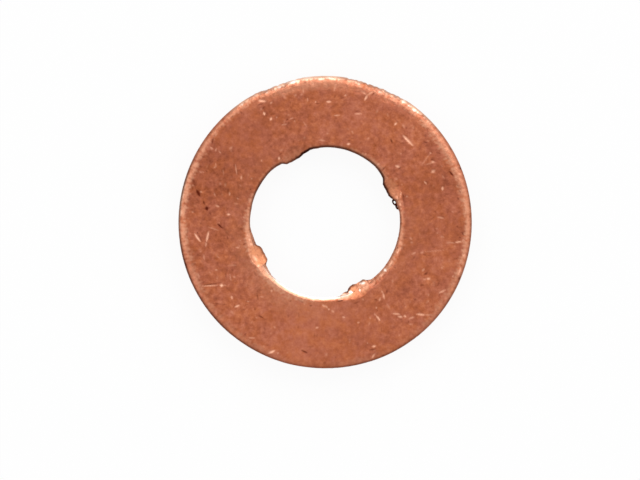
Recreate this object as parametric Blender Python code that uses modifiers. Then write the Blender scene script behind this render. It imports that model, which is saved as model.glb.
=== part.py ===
"""Copper sealing washer that sits under a diesel fuel injector.

A ring punched from soft copper strip, with four small nibs staked inwards from its bore. The nibs
grip the injector's nozzle, so that the washer stays on it while the injector is fitted.

Metres, +Z up. The washer lies flat: its underside is on Z = 0 and its bore is on the Z axis.
The rounded, staked side is up.
"""

import math

import bmesh
import bpy

# Ring
OUTER_DIAMETER = 0.0150
BORE_DIAMETER = 0.0077
THICKNESS = 0.0015

# Rounding that the punch draws into the upper edges: how far in from the edge, and how far down
RIM_ROLL_WIDTH = 0.00042
RIM_ROLL_DEPTH = 0.00020
BORE_ROLL_WIDTH = 0.00028
BORE_ROLL_DEPTH = 0.00017

# Lower part of both walls, where the copper tore instead of being cut: its height and its draw-in
TORN_HEIGHT = 0.00055
TORN_TAPER = 0.00003

# Small rounding that tumbling leaves on the lower edges
LOWER_EDGE_RADIUS = 0.00008

# Nibs: the direction of the first one, how far they stand into the bore, how far below the bore's
# rounding they start and above the underside they end, and how deep they are rooted in the ring.
# At both ends they dip into the bore's wall, and their lip sinks by this much.
FIRST_NIB_ANGLE = math.radians(25.5)
NIB_REACH = 0.00030
NIB_TOP_DROP = 0.00002
NIB_FOOT_HEIGHT = 0.00036
NIB_ROOT = 0.00030
NIB_END_DIP = 0.00002
NIB_END_SINK = 0.00045

# Each nib, anticlockwise from the first: the length of its tip along the bore, and of the flanks
# that lead to it on its clockwise and anticlockwise sides. Worn pins made each a little different.
NIBS = (
    {"name": "first_nib", "tip": 0.00086, "clockwise": 0.00083, "anticlockwise": 0.00053},
    {"name": "second_nib", "tip": 0.00060, "clockwise": 0.00086, "anticlockwise": 0.00060},
    {"name": "third_nib", "tip": 0.00060, "clockwise": 0.00060, "anticlockwise": 0.00046},
    {"name": "fourth_nib", "tip": 0.00073, "clockwise": 0.00042, "anticlockwise": 0.00042},
)

# Conical dent that the staking pin left above each nib: its radius at the top face, how far it
# reaches into the ring from the bore's wall, and the slope of its side
DENT_RADIUS = 0.00114
DENT_REACH = 0.00037
DENT_SLOPE = math.radians(30)

# How far the pin's shape stands above the face that it dents
PIN_CLEARANCE = 0.0002

# Fineness of the curved surfaces
RING_STEPS = 144
RIM_ROLL_STEPS = 8
BORE_ROLL_STEPS = 7
LOWER_EDGE_STEPS = 4
NIB_BELLY_STEPS = 6
NIB_STEP_LENGTH = 0.00009
PIN_SEGMENTS = 96
WELD_DISTANCE = 1e-8
SMOOTH_ANGLE = math.radians(25)

# Bare annealed copper, as linear colour
COPPER_COLOUR = (0.445, 0.130, 0.067, 1.0)
COPPER_ROUGHNESS = 0.45

OUTER_RADIUS = OUTER_DIAMETER / 2
BORE_RADIUS = BORE_DIAMETER / 2


def clear_scene():
    """Removes whatever the scene holds."""
    for old in list(bpy.data.objects):
        bpy.data.objects.remove(old, do_unlink=True)


def new_collection(name):
    """A collection linked to the scene."""
    collection = bpy.data.collections.new(name)
    bpy.context.scene.collection.children.link(collection)
    return collection


def copper():
    """Bare copper with a satin surface."""
    material = bpy.data.materials.new("copper")
    material.use_nodes = True
    shader = material.node_tree.nodes["Principled BSDF"]
    shader.inputs["Base Color"].default_value = COPPER_COLOUR
    shader.inputs["Metallic"].default_value = 1.0
    shader.inputs["Roughness"].default_value = COPPER_ROUGHNESS
    material.diffuse_color = COPPER_COLOUR
    return material


def new_object(name, shape, collection):
    """An object made from a bmesh, in this collection. The bmesh is used up."""
    mesh = bpy.data.meshes.new(name)
    shape.to_mesh(mesh)
    shape.free()
    made = bpy.data.objects.new(name, mesh)
    collection.objects.link(made)
    return made


def as_helper(made):
    """Marks an object as one that only shapes the washer."""
    made.hide_render = True
    made.display_type = "WIRE"
    return made


def corner_round(corner_r, corner_z, reach_r, reach_z, steps):
    """Points of the quarter ellipse that rounds off a corner, from the flat face to the wall.

    reach_r and reach_z go from the corner into the copper, with their signs.
    """
    points = []
    for step in range(steps + 1):
        turn = math.pi / 2 * step / steps
        r = corner_r + reach_r * (1 - math.sin(turn))
        z = corner_z + reach_z * (1 - math.cos(turn))
        points.append((r, z))
    return points


def ring_section():
    """The ring's section as (r, z) points: down the rim, in along the underside, up the bore."""
    foot = LOWER_EDGE_RADIUS
    rim_foot_r = OUTER_RADIUS - TORN_TAPER
    bore_foot_r = BORE_RADIUS + TORN_TAPER
    rim_roll = corner_round(
        OUTER_RADIUS, THICKNESS, -RIM_ROLL_WIDTH, -RIM_ROLL_DEPTH, RIM_ROLL_STEPS
    )
    bore_roll = corner_round(
        BORE_RADIUS, THICKNESS, BORE_ROLL_WIDTH, -BORE_ROLL_DEPTH, BORE_ROLL_STEPS
    )
    rim_foot = corner_round(rim_foot_r, 0, -foot, foot, LOWER_EDGE_STEPS)
    bore_foot = corner_round(bore_foot_r, 0, foot, foot, LOWER_EDGE_STEPS)
    rim = rim_roll + [(OUTER_RADIUS, TORN_HEIGHT)] + rim_foot[::-1]
    bore = bore_foot + [(BORE_RADIUS, TORN_HEIGHT)] + bore_roll[::-1]
    return rim + bore


def turned_ring(collection):
    """The punched ring: its section turned about the Z axis."""
    shape = bmesh.new()
    corners = [shape.verts.new((r, 0, z)) for r, z in ring_section()]
    for first, second in zip(corners, corners[1:] + corners[:1]):
        shape.edges.new((first, second))
    ring = new_object("copper_washer", shape, collection)
    turn = ring.modifiers.new("turn", "SCREW")
    turn.axis = "Z"
    turn.angle = math.tau
    turn.steps = RING_STEPS
    turn.render_steps = RING_STEPS
    turn.use_merge_vertices = True
    turn.merge_threshold = WELD_DISTANCE
    return ring


def nib_section(fullness):
    """A nib's section as (r, z) points, for a fullness from 0 at its ends to 1 at its tip.

    The lip is at the top, where the pin pushed hardest, and the belly below it draws back to the
    wall.
    """
    root_r = BORE_RADIUS + NIB_ROOT
    stand = NIB_ROOT - NIB_END_DIP + (NIB_END_DIP + NIB_REACH) * fullness
    lip_z = THICKNESS - BORE_ROLL_DEPTH - NIB_TOP_DROP - NIB_END_SINK * (1 - fullness)
    points = [(root_r, lip_z)]
    for step in range(NIB_BELLY_STEPS + 1):
        turn = math.pi / 2 * step / NIB_BELLY_STEPS
        z = lip_z + (NIB_FOOT_HEIGHT - lip_z) * math.sin(turn)
        points.append((root_r - stand * math.cos(turn), z))
    return points


def nib_fullness(along, nib):
    """How far a nib stands out at this distance from its middle, from 0 at its ends to 1."""
    flank = nib["anticlockwise"] if along > 0 else nib["clockwise"]
    past_tip = max(abs(along) - nib["tip"] / 2, 0.0)
    share = min(past_tip / flank, 1.0)
    return 1 - share * share * (3 - 2 * share)


def nib_body(nib, direction, collection):
    """One nib: its section carried round the bore, standing out less towards both ends."""
    first = -nib["tip"] / 2 - nib["clockwise"]
    last = nib["tip"] / 2 + nib["anticlockwise"]
    steps = math.ceil((last - first) / NIB_STEP_LENGTH)
    shape = bmesh.new()
    rows = []
    for step in range(steps + 1):
        along = first + (last - first) * step / steps
        turn = direction + along / BORE_RADIUS
        row = []
        for r, z in nib_section(nib_fullness(along, nib)):
            row.append(shape.verts.new((r * math.cos(turn), r * math.sin(turn), z)))
        rows.append(row)
    for row, after in zip(rows, rows[1:]):
        for k in range(len(row) - 1):
            shape.faces.new((row[k], row[k + 1], after[k + 1], after[k]))
        shape.faces.new((row[-1], row[0], after[0], after[-1]))
    shape.faces.new(rows[0])
    shape.faces.new(rows[-1])
    bmesh.ops.remove_doubles(shape, verts=shape.verts, dist=WELD_DISTANCE)
    bmesh.ops.recalc_face_normals(shape, faces=shape.faces)
    return as_helper(new_object(nib["name"], shape, collection))


def staking_pin(nib, direction, collection):
    """The blunt conical pin that pushed a nib out, as a cutter for the dent that it left."""
    depth = DENT_RADIUS * math.tan(DENT_SLOPE)
    top_radius = DENT_RADIUS + PIN_CLEARANCE / math.tan(DENT_SLOPE)
    shape = bmesh.new()
    bmesh.ops.create_cone(
        shape,
        cap_ends=True,
        segments=PIN_SEGMENTS,
        radius1=0,
        radius2=top_radius,
        depth=depth + PIN_CLEARANCE,
    )
    pin = as_helper(new_object("pin_of_" + nib["name"], shape, collection))
    from_axis = BORE_RADIUS + DENT_REACH - DENT_RADIUS
    middle_z = THICKNESS + (PIN_CLEARANCE - depth) / 2
    pin.location = (from_axis * math.cos(direction), from_axis * math.sin(direction), middle_z)
    pin.rotation_euler = (0, 0, direction)
    return pin


def combine(made, name, operation, collection):
    """Joins every object of the collection to this one, or cuts them from it."""
    boolean = made.modifiers.new(name, "BOOLEAN")
    boolean.operation = operation
    boolean.operand_type = "COLLECTION"
    boolean.collection = collection
    boolean.solver = "EXACT"


def finish(made):
    """Makes the modifiers' result the object's own mesh, smooth apart from its true edges."""
    graph = bpy.context.evaluated_depsgraph_get()
    mesh = bpy.data.meshes.new_from_object(made.evaluated_get(graph))
    made.modifiers.clear()
    made.data = mesh
    mesh.shade_smooth()
    mesh.set_sharp_from_angle(angle=SMOOTH_ANGLE)
    shading = made.modifiers.new("flat_faces_stay_flat", "WEIGHTED_NORMAL")
    shading.keep_sharp = True


clear_scene()
part = new_collection("injector_washer")
nibs = new_collection("nibs")
pins = new_collection("staking_pins")

washer = turned_ring(part)
for number, nib_form in enumerate(NIBS):
    nib_angle = FIRST_NIB_ANGLE + math.tau * number / len(NIBS)
    nib_body(nib_form, nib_angle, nibs)
    staking_pin(nib_form, nib_angle, pins)
combine(washer, "join_nibs", "UNION", nibs)
combine(washer, "press_dents", "DIFFERENCE", pins)
finish(washer)
washer.data.materials.clear()
washer.data.materials.append(copper())
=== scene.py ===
"""Sealing washer that sits under a diesel fuel injector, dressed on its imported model.

A ring punched from soft copper strip, with four nibs staked into its bore. Metres, +Z up: the
washer lies on Z = 0 with its rounded, staked face up, and the camera looks straight down on it.
"""

import math

import bpy
import numpy as np
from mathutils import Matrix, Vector, noise


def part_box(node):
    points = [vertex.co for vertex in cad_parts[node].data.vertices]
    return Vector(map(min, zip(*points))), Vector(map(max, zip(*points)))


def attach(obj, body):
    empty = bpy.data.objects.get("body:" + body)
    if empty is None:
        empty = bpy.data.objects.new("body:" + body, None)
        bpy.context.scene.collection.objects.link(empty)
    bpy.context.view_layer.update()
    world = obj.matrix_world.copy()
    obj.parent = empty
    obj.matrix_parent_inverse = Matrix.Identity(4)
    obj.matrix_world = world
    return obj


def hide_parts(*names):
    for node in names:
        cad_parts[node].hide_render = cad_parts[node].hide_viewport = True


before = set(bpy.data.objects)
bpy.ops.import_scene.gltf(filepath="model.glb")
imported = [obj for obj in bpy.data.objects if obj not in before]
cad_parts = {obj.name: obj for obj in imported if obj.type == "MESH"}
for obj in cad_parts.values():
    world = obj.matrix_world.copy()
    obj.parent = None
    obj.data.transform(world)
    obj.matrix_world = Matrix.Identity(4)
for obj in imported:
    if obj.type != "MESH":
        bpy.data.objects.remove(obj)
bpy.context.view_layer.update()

# The ring
# Pierced and blanked from annealed copper strip in one stroke. The punch draws the upper edges
# round and cuts the top of each wall smooth. Below that the copper tears and draws in a little.
MM = 0.001
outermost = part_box("copper_washer")[1]
OUTER_RADIUS = round(outermost.x, 6)
THICKNESS = round(outermost.z, 6)
BORE_RADIUS = 3.85 * MM
RIM_ROLL_WIDTH = 0.42 * MM
RIM_ROLL_DEPTH = 0.20 * MM
BORE_ROLL_WIDTH = 0.28 * MM
BORE_ROLL_DEPTH = 0.17 * MM
TORN_HEIGHT = 0.55 * MM
TORN_TAPER = 0.03 * MM
FOOT_RADIUS = 0.08 * MM
NIB_FOOT_HEIGHT = 0.36 * MM

# Steps round the ring, how near two points are joined, and how near one counts as on a surface
TURN_STEPS = 800
WELD_DISTANCE = 0.0001 * MM
HAIR = 0.001 * MM


def straight(start, end, steps):
    """Evenly spaced (r, z) points from start to end, without the end itself."""
    shares = [step / steps for step in range(steps)]
    return [(start[0] + (end[0] - start[0]) * s, start[1] + (end[1] - start[1]) * s) for s in shares]


def rounding(corner, reach, steps, from_wall):
    """(r, z) points of the quarter ellipse that rounds a corner, without its last one."""
    points = []
    for step in range(steps + 1):
        turn = math.pi / 2 * step / steps
        r = corner[0] + reach[0] * (1 - math.sin(turn))
        z = corner[1] + reach[1] * (1 - math.cos(turn))
        points.append((r, z))
    if from_wall:
        points.reverse()
    return points[:-1]


# The section, from the flat face out over the rim and back through the bore. The whole numbers are
# how many steps each stretch has: most on the face, for its marks, and on the wall with the nibs.
rim_top = THICKNESS - RIM_ROLL_DEPTH
bore_top = THICKNESS - BORE_ROLL_DEPTH
rim_foot = OUTER_RADIUS - TORN_TAPER
bore_foot = BORE_RADIUS + TORN_TAPER
outline = straight(
    (BORE_RADIUS + BORE_ROLL_WIDTH, THICKNESS), (OUTER_RADIUS - RIM_ROLL_WIDTH, THICKNESS), 65
)
outline += rounding((OUTER_RADIUS, THICKNESS), (-RIM_ROLL_WIDTH, -RIM_ROLL_DEPTH), 11, False)
outline += straight((OUTER_RADIUS, rim_top), (OUTER_RADIUS, TORN_HEIGHT), 5)
outline += straight((OUTER_RADIUS, TORN_HEIGHT), (rim_foot, FOOT_RADIUS), 3)
outline += rounding((rim_foot, 0), (-FOOT_RADIUS, FOOT_RADIUS), 3, True)
outline += straight((rim_foot - FOOT_RADIUS, 0), (bore_foot + FOOT_RADIUS, 0), 5)
outline += rounding((bore_foot, 0), (FOOT_RADIUS, FOOT_RADIUS), 3, False)
outline += straight((bore_foot, FOOT_RADIUS), (BORE_RADIUS, NIB_FOOT_HEIGHT), 2)
outline += straight((BORE_RADIUS, NIB_FOOT_HEIGHT), (BORE_RADIUS, bore_top), 18)
outline += rounding((BORE_RADIUS, THICKNESS), (BORE_ROLL_WIDTH, -BORE_ROLL_DEPTH), 8, True)

bpy.ops.object.select_all(action="DESELECT")
bpy.ops.mesh.primitive_circle_add(vertices=len(outline), radius=THICKNESS)
washer = bpy.context.object
washer.name = "sealing_washer"
washer.data.name = "sealing_washer"
for corner, (r, z) in zip(washer.data.vertices, outline):
    corner.co = (r, 0, z)
turned = washer.modifiers.new("turned", "SCREW")
turned.steps = turned.render_steps = TURN_STEPS
turned.use_merge_vertices = True
turned.merge_threshold = WELD_DISTANCE
bpy.ops.object.modifier_apply(modifier="turned")
bpy.ops.object.mode_set(mode="EDIT")
bpy.ops.mesh.select_all(action="SELECT")
bpy.ops.mesh.normals_make_consistent(inside=False)
bpy.ops.object.mode_set(mode="OBJECT")

# Every point by its place round the axis, as the ring was blanked and as it is worked from here on
place = np.empty(len(washer.data.vertices) * 3)
washer.data.vertices.foreach_get("co", place)
place = place.reshape(-1, 3)
turn = np.degrees(np.arctan2(place[:, 1], place[:, 0])) % 360
radius = np.hypot(place[:, 0], place[:, 1])
height = place[:, 2].copy()
blank_radius = radius.copy()
blank_height = height.copy()

# The nibs
# Four blunt pins were pressed into the edge of the bore. Each left a conical dent and pushed a lip
# of copper inwards, which grips the nozzle. The lips tore a little, so no two are alike.
NIB_REACH = 0.30 * MM
NIB_TOP = bore_top - 0.02 * MM
PIN_AXIS_RADIUS = 3.08 * MM
DENT_RADIUS = 1.14 * MM
DENT_SLOPE = math.radians(30)

# How far a lip sinks towards its ends, and how steeply. Where it stands in by LIP_START it is a full
# lip, made of this share of the wall's points, and the other points make its belly.
NIB_END_SINK = 0.16 * MM
LIP_SLOPE = 0.4
LIP_START = 0.05 * MM
LIP_SHARE = 0.4

# How much of the rounding's bulge was pressed flat beside the lips
RUN_ON_PULL = 0.75

# How ragged the lips' edges are, as a share of their reach, and over what length
LIP_RAGGED = 0.06
LIP_TEAR_SIZE = 0.12 * MM

# The free edge of each nib: degrees round the bore, and how far it stands in from the wall in mm
NIBS = {
    25.5: (
        (8, 0), (12, 0.035), (17.3, 0.05), (19, 0.17), (21, 0.265), (22.8, 0.31), (26.8, 0.32),
        (31.2, 0.305), (33.8, 0.29), (35.9, 0.185), (38, 0.11), (41, 0.068), (45, 0.025), (50, 0),
    ),
    115.5: (
        (93, 0), (96, 0.02), (99, 0.015), (102, 0.045), (103.4, 0.085), (105, 0.12), (107.3, 0.157),
        (109.5, 0.217), (111.7, 0.262), (117.6, 0.295), (121, 0.283), (123.2, 0.262), (124.5, 0.195),
        (126.1, 0.107), (129, 0.066), (133, 0.02), (138, 0),
    ),
    205.5: (
        (181, 0), (184, 0.01), (187, 0.03), (189, 0.065), (192, 0.10), (194, 0.11), (196.8, 0.13),
        (198.5, 0.17), (199.6, 0.26), (200.8, 0.33), (204, 0.35), (208, 0.36), (212.3, 0.355),
        (213.4, 0.29), (214.5, 0.19), (215.8, 0.11), (218, 0.08), (221, 0.04), (224, 0.01), (227, 0),
    ),
    295.5: (
        (281, 0), (283.3, 0.06), (285, 0.14), (288, 0.145), (289.3, 0.26), (291, 0.34), (294, 0.375),
        (297, 0.33), (301.5, 0.345), (303, 0.345), (304.5, 0.30), (306, 0.20), (309, 0.095),
        (312, 0.08), (320, 0.055), (335, 0.045), (345, 0.02), (352, 0),
    ),
}


def rise(values, start, end):
    """0 up to start, 1 from end on and a straight line between. end may be the lower one."""
    return np.clip((values - start) / (end - start), 0, 1)


def uneven(points, size, seed, where):
    """Smooth noise from about -1 to 1 with bumps of this size, and 0 at points outside where."""
    found = np.zeros(len(points))
    shift = Vector((seed * 17.3, seed * 5.1, seed * 9.7))
    found[where] = [noise.noise(Vector(point) / size + shift) for point in points[where]]
    return found


stand = np.zeros(len(turn))
for edge in NIBS.values():
    stand += np.interp(turn, [at for at, _ in edge], [far * MM for _, far in edge], left=0, right=0)
in_bore = (blank_radius < BORE_RADIUS + HAIR) & (blank_height > NIB_FOOT_HEIGHT - HAIR)
from_above = place * (1, 1, 0)
stand *= 1 + LIP_RAGGED * uneven(from_above, LIP_TEAR_SIZE, 1, in_bore)

# The wall's points slide on to the nib: the upper ones on to its top, the others on to its belly
share = rise(blank_height, bore_top, NIB_FOOT_HEIGHT)
lip_sink = NIB_END_SINK * (1 - rise(stand, 0, NIB_REACH))
lip_height = NIB_TOP - np.minimum(lip_sink, LIP_SLOPE * stand)
on_top = rise(share, 0, LIP_SHARE)
round_belly = rise(share, LIP_SHARE, 1) * math.pi / 2
nib_radius = BORE_RADIUS - stand * np.where(share < LIP_SHARE, on_top, np.cos(round_belly))
nib_height = np.where(
    share < LIP_SHARE,
    bore_top + (lip_height - bore_top) * on_top,
    lip_height - (lip_height - NIB_FOOT_HEIGHT) * np.sin(round_belly),
)
radius = np.where(in_bore, nib_radius, radius)
height = np.where(in_bore, nib_height, height)

# Beside a lip the bore's rounding is nearly straight, so that the copper runs on without a step
run_on_slope = (THICKNESS - lip_height) / (BORE_ROLL_WIDTH + stand)
run_on = lip_height + run_on_slope * (radius - (BORE_RADIUS - stand))
rounded = (blank_radius < BORE_RADIUS + BORE_ROLL_WIDTH) & (blank_height > bore_top - HAIR)
lip_top = rounded | (in_bore & (share < LIP_SHARE))
on_nib = rise(stand, 0, LIP_START)
pull = np.where(run_on > height, 1, RUN_ON_PULL) * on_nib * lip_top
height += pull * (run_on - height)

# The pins' dents, and how far each point lies inside the edge of one, in mm
into_dent = np.zeros(len(turn))
for angle in NIBS:
    across = radius * np.sin(np.radians(turn - angle))
    along = radius * np.cos(np.radians(turn - angle)) - PIN_AXIS_RADIUS
    inside = DENT_RADIUS - np.hypot(across, along)
    cone = THICKNESS - inside * math.tan(DENT_SLOPE)
    pushed = (inside > 0) & (height > cone)
    height[pushed] = cone[pushed]
    into_dent[pushed] = inside[pushed] / MM

# Wear
# Loose washers rub and knock against each other in the drum and the bag. That wore the raised edges
# down to clean copper, bit the upper rim on one side, and left nicks, scratches and dull spots.
# Below, highlights, glints and dark edge lines are also painted into the colours.


def around(table):
    """Values at every point from a table of (degrees, value) pairs, with straight lines between."""
    at, values = zip(*table)
    return np.interp(turn, at, values, period=360)


upper = rise(blank_height, TORN_HEIGHT, rim_top)

# The strip curled down a little towards the rim: where that starts, in mm, its slope, and how soon
# it gets there
CURL_START = (
    (0, 6.95), (30, 6.87), (60, 6.80), (90, 6.70), (110, 6.78), (135, 7.0), (180, 7.0), (270, 7.1),
)
CURL_SLOPE = (
    (0, 0.045), (30, 0.06), (60, 0.08), (90, 0.095), (110, 0.08), (135, 0.03), (180, 0.04),
    (210, 0.03), (240, 0.01), (300, 0.01), (330, 0.03),
)
CURL_BEND = 0.08 * MM
past = np.clip(blank_radius - around(CURL_START) * MM, 0, None)
height -= around(CURL_SLOPE) * past * past / (past + CURL_BEND) * upper

# How badly the rim is bitten and knocked, and how deep and how long the bites and knocks are
RAGGED = (
    (48, 0), (55, 0.1), (58, 1), (80, 0.8), (83, 0), (99, 0), (101, 1), (115, 1.1), (118, 0.4),
    (124, 0),
)
BITE_DEPTH = 0.095 * MM
BITE_SIZE = 0.16 * MM
KNOCK_DEPTH = 0.006 * MM
KNOCK_SIZE = 0.13 * MM
roll_start = OUTER_RADIUS - RIM_ROLL_WIDTH
at_rim = rise(blank_radius, roll_start, roll_start + 0.25 * MM)
bites = np.clip(uneven(place * (1, 1, 0.3), BITE_SIZE, 2, at_rim > 0) + 0.25, 0, 1)
radius -= BITE_DEPTH * bites * around(RAGGED) * at_rim
knocks = (0.6 + uneven(from_above, KNOCK_SIZE, 9, past > 0)) * (1 + around(RAGGED))
height -= KNOCK_DEPTH * knocks * rise(past, 0, 0.2 * MM) * upper

# How far the rim is worn in, in mm
RIM_WORN = (
    (0, 0), (55, 0), (60, 0.035), (63, 0.07), (66, 0.04), (69, 0.07), (72, 0.065), (75, 0.035),
    (78, 0.03), (82, 0), (100, 0), (107, 0.05), (114, 0.065), (117, 0), (195, 0.004), (210, 0.012),
    (225, 0.018), (235, 0.035), (255, 0.038), (262, 0.05), (272, 0.05), (285, 0.042), (294, 0.024),
    (306, 0.018), (312, 0.005), (324, 0),
)

# How far the bore is worn out, in mm. Below 0, its copper crept inwards as the nibs were pressed.
BORE_WORN = (
    (0, -0.03), (5, -0.025), (45, -0.02), (60, -0.01), (75, 0.005), (88, -0.005), (95, -0.025),
    (138, -0.03), (148, -0.03), (157, -0.015), (165, -0.015), (170, -0.03), (177, -0.015),
    (190, -0.025), (218, -0.025), (228, -0.01), (245, 0), (270, 0), (280, -0.02), (300, -0.025),
    (340, -0.025), (351, -0.045), (356, -0.035),
)
bore_roll_end = BORE_RADIUS + BORE_ROLL_WIDTH
at_bore = rise(blank_radius, bore_roll_end, bore_roll_end - 0.25 * MM)
radius -= around(RIM_WORN) * MM * at_rim
radius += around(BORE_WORN) * MM * at_bore

# Where knocks flattened the bore's rounding to a plain slope, which throws back the light behind it:
# the slope passes this far under the face at this radius
EDGE_FLATTENED = ((222, 0), (230, 1), (278, 1), (285, 0))
EDGE_SLOPE = 0.53
EDGE_RADIUS = 3.97 * MM
EDGE_DEPTH = 0.03 * MM
flattened = THICKNESS - EDGE_DEPTH - EDGE_SLOPE * (EDGE_RADIUS - blank_radius)
height += np.clip(flattened - height, 0, None) * around(EDGE_FLATTENED) * rounded

# The cut part of the bore's wall widens downwards by this much, but not under the nibs
CUT_TAPER = 0.014 * MM
MIDDLE_RADIUS = 5 * MM
plain_wall = (blank_radius < MIDDLE_RADIUS) & (stand < 0.01 * MM)
radius += CUT_TAPER * rise(blank_height, bore_top, TORN_HEIGHT) * plain_wall

# The walls: fine upright scores on the cut part, coarse grain on the torn part, which lies deeper
WALL_EDGE = 0.04 * MM
SCORE_DEPTH = 0.005 * MM
TEAR_DEPTH = 0.016 * MM
TORN_DEPTH = 0.012 * MM
steep = (blank_radius > OUTER_RADIUS - WALL_EDGE) | (blank_radius < BORE_RADIUS + WALL_EDGE)
steep &= blank_height > 2 * FOOT_RADIUS
torn = rise(blank_height, TORN_HEIGHT + 0.08 * MM, TORN_HEIGHT - 0.04 * MM)
scores = uneven(place * (1, 1, 0.06), 0.10 * MM, 3, steep)
tears = uneven(place * (1, 1, 0.7), 0.16 * MM, 4, steep)
relief = SCORE_DEPTH * (1 - torn) * np.clip(scores, -1, 0.6)
relief += torn * (TEAR_DEPTH * np.clip(tears, -1, 0.6) + TORN_DEPTH)
radius -= np.where(blank_radius > MIDDLE_RADIUS, 1, -1) * relief * steep
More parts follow.
